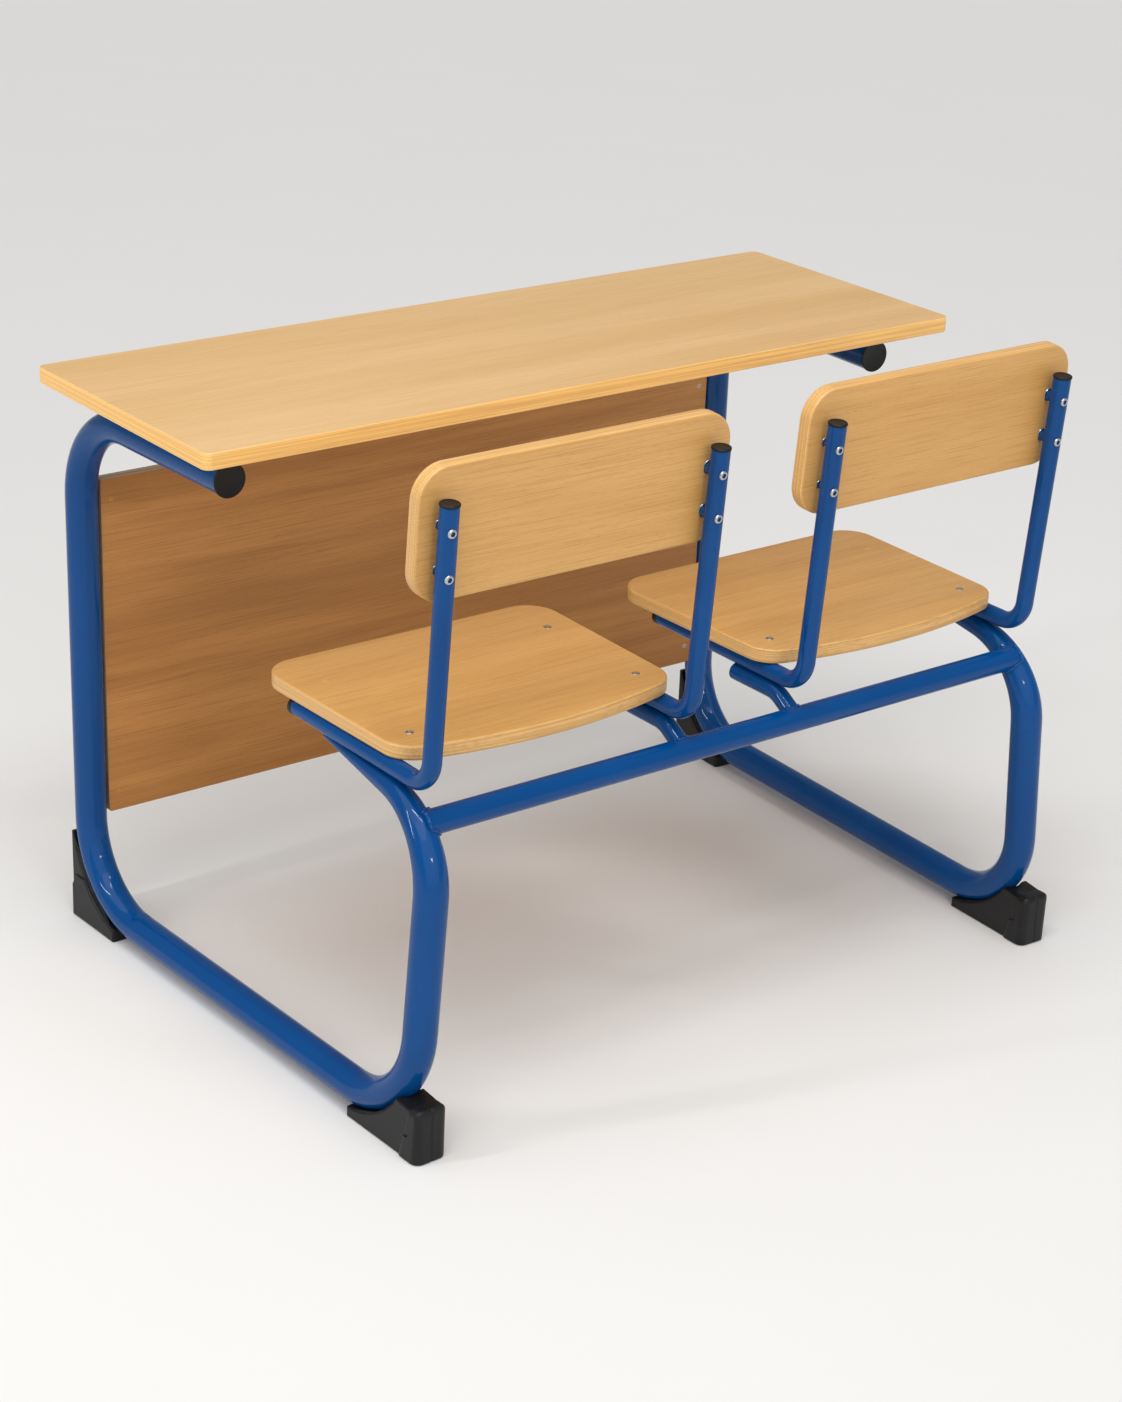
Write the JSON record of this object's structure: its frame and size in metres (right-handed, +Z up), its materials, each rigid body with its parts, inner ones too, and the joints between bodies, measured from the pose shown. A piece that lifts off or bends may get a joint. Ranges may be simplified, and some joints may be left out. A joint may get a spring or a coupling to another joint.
{
  "type": "two-seat school desk with attached chairs",
  "caption": "School desk for a pair of pupils: plywood top and front panel on bent blue tube side frames, with attached chairs on a cross tube.",
  "frame": {"origin": "middle of the footprint on the floor", "axes": "+X along the desk from the left pupil to the right one, +Y from the chairs towards the desk and its panel, +Z up"},
  "size_m": [1.12, 0.754, 0.8029],
  "materials": {
    "beech_top": "clear satin lacquer",
    "beech_panel": "clear satin lacquer",
    "beech_seat": "clear satin lacquer",
    "blue_paint": "glossy powder coat",
    "black_plastic": "moulded, matt",
    "zinc": "zinc plated"
  },
  "bodies": {
    "root": {"desk_top": "beech_top", "modesty_panel": "beech_panel", "seat_left": "beech_seat", "seat_right": "beech_seat", "backrest_left": "beech_seat", "backrest_right": "beech_seat", "side_frame_left": "blue_paint", "side_frame_right": "blue_paint", "cross_tube": "blue_paint", "inner_support_left": "blue_paint", "inner_support_right": "blue_paint", "top_bearer_1": "blue_paint", "top_bearer_2": "blue_paint", "seat_post_left_l": "blue_paint", "seat_post_left_r": "blue_paint", "seat_post_right_l": "blue_paint", "seat_post_right_r": "blue_paint", "foot_chair_end_left": "black_plastic", "foot_chair_end_right": "black_plastic", "foot_desk_end_left": "black_plastic", "foot_desk_end_right": "black_plastic", "desk_arm_cap_left": "black_plastic", "desk_arm_cap_right": "black_plastic", "post_cap_left_l": "black_plastic", "seat_rail_cap_left_l": "black_plastic", "back_bolt_left_l_1": "zinc", "back_washer_left_l_1": "zinc", "seat_screw_left_l_1": "zinc", "back_bolt_left_l_2": "zinc", "back_washer_left_l_2": "zinc", "seat_screw_left_l_2": "zinc", "post_cap_left_r": "black_plastic", "seat_rail_cap_left_r": "black_plastic", "back_bolt_left_r_1": "zinc", "back_washer_left_r_1": "zinc", "seat_screw_left_r_1": "zinc", "back_bolt_left_r_2": "zinc", "back_washer_left_r_2": "zinc", "seat_screw_left_r_2": "zinc", "post_cap_right_l": "black_plastic", "seat_rail_cap_right_l": "black_plastic", "back_bolt_right_l_1": "zinc", "back_washer_right_l_1": "zinc", "seat_screw_right_l_1": "zinc", "back_bolt_right_l_2": "zinc", "back_washer_right_l_2": "zinc", "seat_screw_right_l_2": "zinc", "post_cap_right_r": "black_plastic", "seat_rail_cap_right_r": "black_plastic", "back_bolt_right_r_1": "zinc", "back_washer_right_r_1": "zinc", "seat_screw_right_r_1": "zinc", "back_bolt_right_r_2": "zinc", "back_washer_right_r_2": "zinc", "seat_screw_right_r_2": "zinc", "panel_screw_1": "zinc", "panel_screw_2": "zinc", "panel_screw_3": "zinc", "panel_screw_4": "zinc"}
  },
  "joints": []
}
